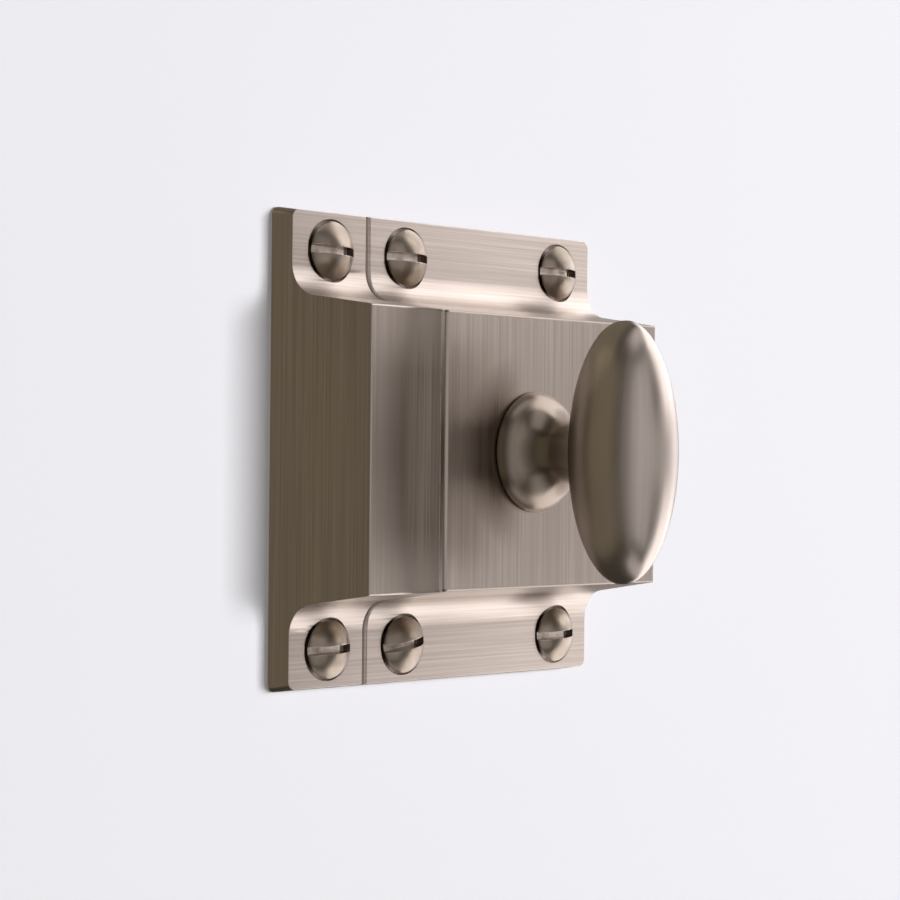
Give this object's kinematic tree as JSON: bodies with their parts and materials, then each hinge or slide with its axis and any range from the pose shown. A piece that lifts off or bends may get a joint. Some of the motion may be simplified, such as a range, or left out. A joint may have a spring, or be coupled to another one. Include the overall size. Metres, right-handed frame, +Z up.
{
  "type": "cupboard catch latch",
  "caption": "Cupboard catch latch: a turning oval knob on a cast case draws back a sprung bolt from a ramped strike beside it.",
  "frame": {"origin": "centre of the case's four screws, on the mounting plane", "axes": "+Z up along the plates, +Y back into the furniture along the screws, +X from the strike towards the case"},
  "size_m": [0.0546, 0.0484, 0.057],
  "materials": {
    "cast_metal": "satin, brushed, brown nickel tone",
    "screw_metal": "satin, turned",
    "inner_brass": "plain, as cast or milled",
    "inner_steel": "plain"
  },
  "bodies": {
    "case": {"latch_case": "cast_metal", "strike": "cast_metal", "back_plate": "inner_brass", "back_plate_screws": "inner_steel", "case_screws": "screw_metal", "strike_screws": "screw_metal", "bolt_spring": "inner_steel"},
    "knob": {"knob": "cast_metal", "cam": "inner_brass", "cam_washer": "inner_steel", "cam_screw": "inner_steel"},
    "bolt": {"latch_bolt": "inner_brass"}
  },
  "joints": [
    {"name": "knob_turn", "type": "hinge", "parent": "case", "child": "knob", "pos_m": [-0.00487, 0, 0], "axis": [0, 1, 0], "range_deg": [0, 45], "stiffness_Nm_per_rad": 0.0177, "springref_deg": -44.69},
    {"name": "bolt_slide", "type": "slide", "parent": "case", "child": "bolt", "axis": [1, 0, 0], "range_m": [0, 0.0061], "deforming": ["bolt_spring"]}
  ],
  "couplings": [
    {"joint": "bolt_slide", "follows": "knob_turn", "m_per_rad": 0.00768}
  ]
}
